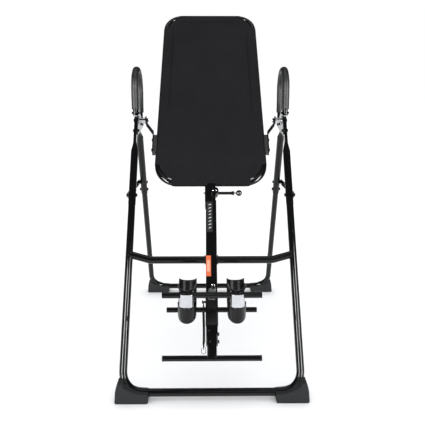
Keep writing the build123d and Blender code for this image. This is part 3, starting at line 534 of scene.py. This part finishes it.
def cover_mesh():
    """The cloth as cut and wrapped: a panel with a sleeve flap on each of its four straight sides."""
    rows = cover_rows()
    verts, faces, pinned = [], [], []

    def put(x, s, t, hold):
        verts.append((x, s, t))
        pinned.append(hold)
        return len(verts) - 1

    columns = [math.sin(math.pi / 2 * (-1 + 2 * i / COLUMNS)) for i in range(COLUMNS + 1)]
    panel = [[put(u * cover_half(s), s, CLOTH_T, j in (0, len(rows) - 1) or abs(u) > 0.999)
              for u in columns] for j, s in enumerate(rows)]
    for j in range(len(rows) - 1):
        for i in range(COLUMNS):
            faces.append((panel[j][i], panel[j][i + 1], panel[j + 1][i + 1], panel[j + 1][i]))

    def flap(edge, outline, keep):
        """Wraps a strip from an edge of the panel; outline gives each step's place at one edge point."""
        before = edge
        steps = len(outline(0))
        for step in range(steps):
            now = [put(*outline(k)[step], True) for k in range(len(edge))]
            for k in range(len(edge) - 1):
                if keep(k, step):
                    faces.append((before[k], before[k + 1], now[k + 1], now[k]))
            before = now

    inside = [j for j, s in enumerate(rows) if SLEEVE_LOW - 1 <= s <= SLEEVE_HIGH + 1]
    back_steps = 4
    for side in (-1, 1):
        def sleeve(k, side=side):
            s = rows[inside[k]]
            x = rail_half(s)
            out = []
            for step in range(1, WRAP + 1):
                turn = math.pi * step / WRAP
                out.append((side * (x + CLOTH_R * math.sin(turn)), s,
                            RAIL_T + CLOTH_R * math.cos(turn)))
            for step in range(1, back_steps + 1):
                f = step / back_steps
                out.append((side * (x - SEAM_IN * f), s,
                            RAIL_T - CLOTH_R + flap_rise(f)))
            return out

        def beside_cross_tube(k, step):
            s = (rows[inside[k]] + rows[inside[min(k + 1, len(inside) - 1)]]) / 2
            return not (abs(s - CROSS_TUBE_S) < 16 and step >= WRAP - 5)

        edge = [panel[j][COLUMNS if side > 0 else 0] for j in inside]
        flap(edge, sleeve, beside_cross_tube)

    for row, end, way, bend, straight in ((0, RAIL_BOTTOM, -1, *BOTTOM_CORNER),
                                         (len(rows) - 1, RAIL_TOP, 1, *TOP_CORNER)):
        def tunnel(k, row=row, end=end, way=way, bend=bend, straight=straight):
            x = verts[panel[row][k]][0]
            over = max(0.0, abs(x) - straight)
            middle = end - way * (bend - math.sqrt(bend * bend - over * over))
            out = []
            for step in range(1, WRAP + 1):
                turn = math.pi * step / WRAP
                out.append((x, middle + way * CLOTH_R * math.sin(turn),
                            RAIL_T + CLOTH_R * math.cos(turn)))
            for step in range(1, back_steps + 1):
                f = step / back_steps
                out.append((x, middle - way * SEAM_IN * f,
                            RAIL_T - CLOTH_R + flap_rise(f)))
            return out

        def clear_of_post(k, step, row=row):
            x = abs(verts[panel[row][k]][0] + verts[panel[row][k + 1]][0]) / 2
            return row > 0 or x > POST_HALF + 3.5 or step < 2

        flap(panel[row], tunnel, clear_of_post)
    return verts, faces, pinned, panel, rows


def corner_fold(x, s):
    """Height of the soft folds that run beside the two cut corners at the bottom."""
    if s > SLEEVE_LOW + 55:
        return 0.0
    start = Vector((rail_half(SLEEVE_LOW), SLEEVE_LOW))
    end = Vector((TUNNEL_LOW, RAIL_BOTTOM))
    way = (end - start).normalized()
    place = Vector((abs(x), s)) - start
    run = place.dot(way)
    deep = max(0.0, place.x * way.y - place.y * way.x)
    ends = math.exp(-((run / (end - start).length - 0.45) / 0.38) ** 2)
    side = 1.0 if x < 0 else 0.8
    ridge = 3.2 * math.exp(-((deep - 15) / 7.5) ** 2) - 2.0 * math.exp(-((deep - 30) / 8) ** 2)
    return side * ends * (ridge + 1.3 * math.exp(-((deep - 46) / 9) ** 2))


def drape(piece, panel_count, pinned):
    """Lets the stretched panel settle between its rails under gravity, a little slack."""
    stops = []
    for name in ("backrest_post", "backrest_cross_tube"):
        stop = NODES[name].copy()
        stop.data = NODES[name].data.copy()
        stop.name = f"stop_{name}"
        stop.parent = None
        for key in list(stop.keys()):
            del stop[key]
        bpy.context.scene.collection.objects.link(stop)
        stop.modifiers.new("stop", "COLLISION")
        stop.collision.thickness_outer = 0.0005
        stops.append(stop)
    hold = piece.vertex_groups.new(name="hold")
    hold.add([k for k, held in enumerate(pinned) if held], 1.0, "REPLACE")
    cloth = piece.modifiers.new("cloth", "CLOTH")
    settings = cloth.settings
    settings.quality, settings.mass, settings.air_damping = 6, 0.28, 6.0
    settings.tension_stiffness = settings.compression_stiffness = 60
    settings.shear_stiffness, settings.bending_stiffness = 20, 1.2
    settings.vertex_group_mass = "hold"
    settings.shrink_min = 0.002
    cloth.collision_settings.use_collision = True
    cloth.collision_settings.distance_min = 0.0008
    cloth.collision_settings.use_self_collision = False
    scene = bpy.context.scene
    scene.frame_start, scene.frame_end = 1, 24
    cloth.point_cache.frame_start, cloth.point_cache.frame_end = 1, 24
    for step in range(1, 25):
        scene.frame_set(step)
    graph = bpy.context.evaluated_depsgraph_get()
    settled = piece.evaluated_get(graph).to_mesh()
    moved = [v.co.copy() for v in settled.vertices]
    piece.evaluated_get(graph).to_mesh_clear()
    piece.modifiers.clear()
    piece.vertex_groups.clear()
    for vertex, place in zip(piece.data.vertices, moved):
        if vertex.index < panel_count:
            change = place - vertex.co
            s = (vertex.co / MM - PIVOT).dot(ALONG)
            room = (1.2 + 6.0 * smooth_step(-20.0, 170.0, s)) * MM
            sag = -change.dot(OUTWARD)
            vertex.co = place + OUTWARD * (sag - min(max(sag, -2 * MM), room))
    scene.frame_set(1)
    for stop in stops:
        data = stop.data
        bpy.data.objects.remove(stop)
        bpy.data.meshes.remove(data)


def cover():
    verts, faces, pinned, panel, rows = cover_mesh()
    panel_count = (COLUMNS + 1) * len(rows)
    piece = add_piece("backrest_cover", [table(*v) for v in verts], faces, "cloth", "table")
    drape(piece, panel_count, pinned)
    shape = bmesh.new()
    shape.from_mesh(piece.data)
    shape.verts.ensure_lookup_table()
    for k in range(panel_count):
        x, s, _ = verts[k]
        shape.verts[k].co -= OUTWARD * corner_dip(x, s) * MM
        if not pinned[k]:
            shape.verts[k].co += OUTWARD * corner_fold(x, s) * MM
            seam = min(abs(rail_half(s) - SEAM_IN - abs(x)), abs(s - RAIL_BOTTOM - SEAM_IN),
                       abs(RAIL_TOP - SEAM_IN - s))
            shape.verts[k].co -= OUTWARD * 0.7 * math.exp(-(seam / 4.0) ** 2) * MM
    loose = [v for v in shape.verts if not v.link_faces]
    bmesh.ops.delete(shape, geom=loose, context="VERTS")
    bmesh.ops.recalc_face_normals(shape, faces=shape.faces)
    shape.to_mesh(piece.data)
    shape.free()
    for polygon in piece.data.polygons:
        polygon.use_smooth = True
    tidy_mesh(piece, subdivide=1, thickness=CLOTH_THICK * MM)
    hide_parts("backrest_fabric")
    return piece


# ---- tether ---------------------------------------------------------------------------------
STRAP_X, STRAP_Y, STRAP_TOP, STRAP_LENGTH = -31.5, -425.0, 322.0, 193.0
STRAP_W, STRAP_THICK = 19.0, 2.0
STRAP_TURN = math.radians(26)     # how far the hanging webbing turns about its length


def strap():
    """Flat webbing that hangs from its bolt, doubled and sewn at both ends."""
    steps, count = 60, 16
    line, verts = [], []
    for k in range(steps + 1):
        f = k / steps
        sway = 1.1 * math.sin(math.pi * f) - 0.5 * math.sin(2 * math.pi * f)
        line.append(Vector((STRAP_X + sway, STRAP_Y + 1.5 * math.sin(math.pi * f),
                            STRAP_TOP - STRAP_LENGTH * f)))
    for k, point in enumerate(line):
        down = k / steps * STRAP_LENGTH
        doubled = (1 - smooth_step(26, 30, down)
                   + smooth_step(STRAP_LENGTH - 32, STRAP_LENGTH - 28, down))
        thick = (STRAP_THICK + 1.4 * doubled) / 2
        twist = (STRAP_TURN * smooth_step(0, 40, down)
                 * (1 - smooth_step(STRAP_LENGTH - 30, STRAP_LENGTH, down)))
        for step in range(count):
            turn = 2 * math.pi * step / count
            c, n = math.cos(turn), math.sin(turn)
            across = math.copysign(abs(c) ** 0.35, c) * STRAP_W / 2
            deep = math.copysign(abs(n) ** 0.35, n) * thick
            verts.append((point + Vector((deep * math.cos(twist) + across * math.sin(twist),
                                          across * math.cos(twist) - deep * math.sin(twist), 0))) * MM)
    faces = loop_faces(steps + 1, count)
    faces.append(tuple(reversed(range(count))))
    faces.append(tuple(range(steps * count, (steps + 1) * count)))
    piece = add_piece("tether_webbing", verts, faces, "webbing", "tether")
    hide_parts("tether_strap")


# ---- ankle cups -----------------------------------------------------------------------------
CUP_X, CUP_HALF, CUP_DEPTH, CUP_CHANNEL, CUP_WALL = 91.0, 35.0, 67.0, 36.0, 3.5
CUP_ABOVE, CUP_SCOOP = 29.5, 18.0
FRONT_BAR_S, FRONT_BAR_T = -857.0, 139.0


def scoop(x):
    """How far the top lip of a cup lies under its tips, at x from its middle."""
    radius = (CUP_HALF ** 2 + CUP_SCOOP ** 2) / (2 * CUP_SCOOP)
    return math.sqrt(radius ** 2 - min(abs(x), CUP_HALF) ** 2) - (radius - CUP_SCOOP)


def ankle_cup(side, word):
    """A moulded cup: a scooped bowl over a narrow waist, and a longer bowl below it."""
    bar = table(0, FRONT_BAR_S, FRONT_BAR_T) / MM
    tips_y, top = bar.y + (CUP_DEPTH + CUP_CHANNEL) / 2, bar.z + CUP_ABOVE
    # (height under the top, half width, depth, share of the scoop)
    levels = [(0, 34.6, 66, 1), (1.5, 35, 67, 1), (4, 34.8, 66.4, 0.88), (9, 34, 65.5, 0.62),
              (13, 32, 64, 0.42), (17, 29, 63, 0.24), (21, 25.4, 61.5, 0.08), (24.5, 23.8, 61, 0),
              (70.5, 23.8, 61, 0), (71.5, 33, 65, 0), (73.5, 35, 67, 0), (80, 35, 67, 0),
              (104, 35, 67, 0), (122, 34.6, 66.6, 0), (129, 33.6, 65.6, 0), (133.5, 31.5, 63.5, 0),
              (135.5, 28.5, 60.5, 0), (136, 25, 57, 0)]
    count = 25
    verts, faces = [], []
    for down, half, depth, share in levels:
        channel = min(CUP_CHANNEL, depth - 12)
        inner = max(half - CUP_WALL, 8.0)
        for step in range(count):
            turn = math.pi * step / (count - 1)
            x, y = half * math.cos(turn), -depth * math.sin(turn)
            verts.append((x, y, -down - scoop(x) * share))
        for step in range(count):
            turn = math.pi * (1 - step / (count - 1))
            x, y = inner * math.cos(turn), -channel * math.sin(turn)
            verts.append((x, y, -down - scoop(x) * share))
    faces = loop_faces(len(levels), 2 * count)
    for base, flip in ((0, False), ((len(levels) - 1) * 2 * count, True)):
        for k in range(count - 1):
            quad = (base + k, base + k + 1, base + 2 * count - 2 - k, base + 2 * count - 1 - k)
            faces.append(tuple(reversed(quad)) if not flip else quad)
    placed = [Vector((side * CUP_X + x, tips_y + y, top + z)) * MM for x, y, z in verts]
    piece = add_piece(f"ankle_cup_{word}", placed, faces, "cup_rubber", f"front_cup_{word}")
    shape = bmesh.new()
    shape.from_mesh(piece.data)
    bmesh.ops.recalc_face_normals(shape, faces=shape.faces)
    shape.to_mesh(piece.data)
    shape.free()
    tidy_mesh(piece, subdivide=1)
    for polygon in piece.data.polygons:
        polygon.use_smooth = True
    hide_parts(f"front_cup_{word}")


# ---- small bright marks and stitches --------------------------------------------------------
BOOM_HALF, PLATE_THICK = 15.5, 0.6
FIRST_MARK_S, MARK_PITCH = -428.0, 15.0
PIN_S = -364.0                    # the height pin's hub


def scale_marks():
    """The slanted graduations of the height scale."""
    front = BOOM_T + BOOM_HALF + PLATE_THICK
    verts, faces = [], []
    for k in range(8):
        s = FIRST_MARK_S - MARK_PITCH * k
        for t in (front, front + 0.35):
            for x, ds in ((-10.0, -1.6), (0.0, 2.4), (0.0, 5.4), (-10.0, 1.4)):
                verts.append(table(x, s + ds, t))
        b = 8 * k
        faces += [(b + 3, b + 2, b + 1, b), (b + 4, b + 5, b + 6, b + 7)]
        faces += [(b + i, b + (i + 1) % 4, b + 4 + (i + 1) % 4, b + 4 + i) for i in range(4)]
    add_piece("scale_marks", verts, faces, "mark", "boom", smooth=False)


def hub_screws():
    """Two bright dome screws on the face of the height pin's hub."""
    verts, faces, count = [], [], 14
    for x in (8.0, 22.0):
        base = len(verts)
        for radius, height in ((3.4, -0.5), (3.4, 0.9), (2.7, 1.9), (1.4, 2.4)):
            for step in range(count):
                turn = 2 * math.pi * step / count
                verts.append(table(x + radius * math.cos(turn), PIN_S + radius * math.sin(turn),
                                   BOOM_T + 25.0 + height))
        faces += [tuple(base + k for k in face) for face in loop_faces(4, count)]
        faces.append(tuple(base + 3 * count + k for k in range(count)))
        faces.append(tuple(base + k for k in reversed(range(count))))
    add_piece("hub_screws", verts, faces, "steel", "table")


def capsule(start, end, radius, verts, faces):
    """A short thread or pin with rounded ends."""
    way = (end - start).normalized()
    side = way.orthogonal().normalized()
    other, base, count = way.cross(side), len(verts), 6
    for point, size in ((start - way * radius * 0.7, 0.45), (start, 1.0), (end, 1.0),
                        (end + way * radius * 0.7, 0.45)):
        for step in range(count):
            turn = 2 * math.pi * step / count
            verts.append(point + (side * math.cos(turn) + other * math.sin(turn)) * radius * size)
    faces += [tuple(base + k for k in face) for face in loop_faces(4, count)]
    faces.append(tuple(base + k for k in reversed(range(count))))
    faces.append(tuple(base + 3 * count + k for k in range(count)))


def stitches(cloth):
    """Rows of single stitches along the seams of the four sleeves."""
    verts, faces = [], []
    low, high = RAIL_BOTTOM + SEAM_IN, RAIL_TOP - SEAM_IN
    lines = [[(side * (rail_half(s) - SEAM_IN), s) for s in (SLEEVE_LOW + 4, SLEEVE_HIGH - 4)]
             for side in (-1, 1)]
    lines += [[(-TUNNEL_LOW + 8, low), (TUNNEL_LOW - 8, low)],
              [(-TUNNEL_HIGH + 8, high), (TUNNEL_HIGH - 8, high)]]
    back = -OUTWARD
    for (x0, s0), (x1, s1) in lines:
        length = math.hypot(x1 - x0, s1 - s0)
        number = int(length / 4.6)
        for k in range(number):
            ends = []
            for f in ((k + 0.15) / number, (k + 0.82) / number):
                x, s = x0 + (x1 - x0) * f, s0 + (s1 - s0) * f
                hit, place, _, _ = cloth.ray_cast(table(x, s, CLOTH_T + 30), back)
                ends.append(place if hit else table(x, s, CLOTH_T))
            capsule(ends[0], ends[1], 0.00042, verts, faces)
    add_piece("seam_stitches", verts, faces, "thread", "table")


camera()
studio()
wear_finishes()
for sign, side_word in ((-1, "left"), (1, "right")):
    grip(sign, side_word)
    ankle_cup(sign, side_word)
stitches(cover())
scale_marks()
hub_screws()
strap()
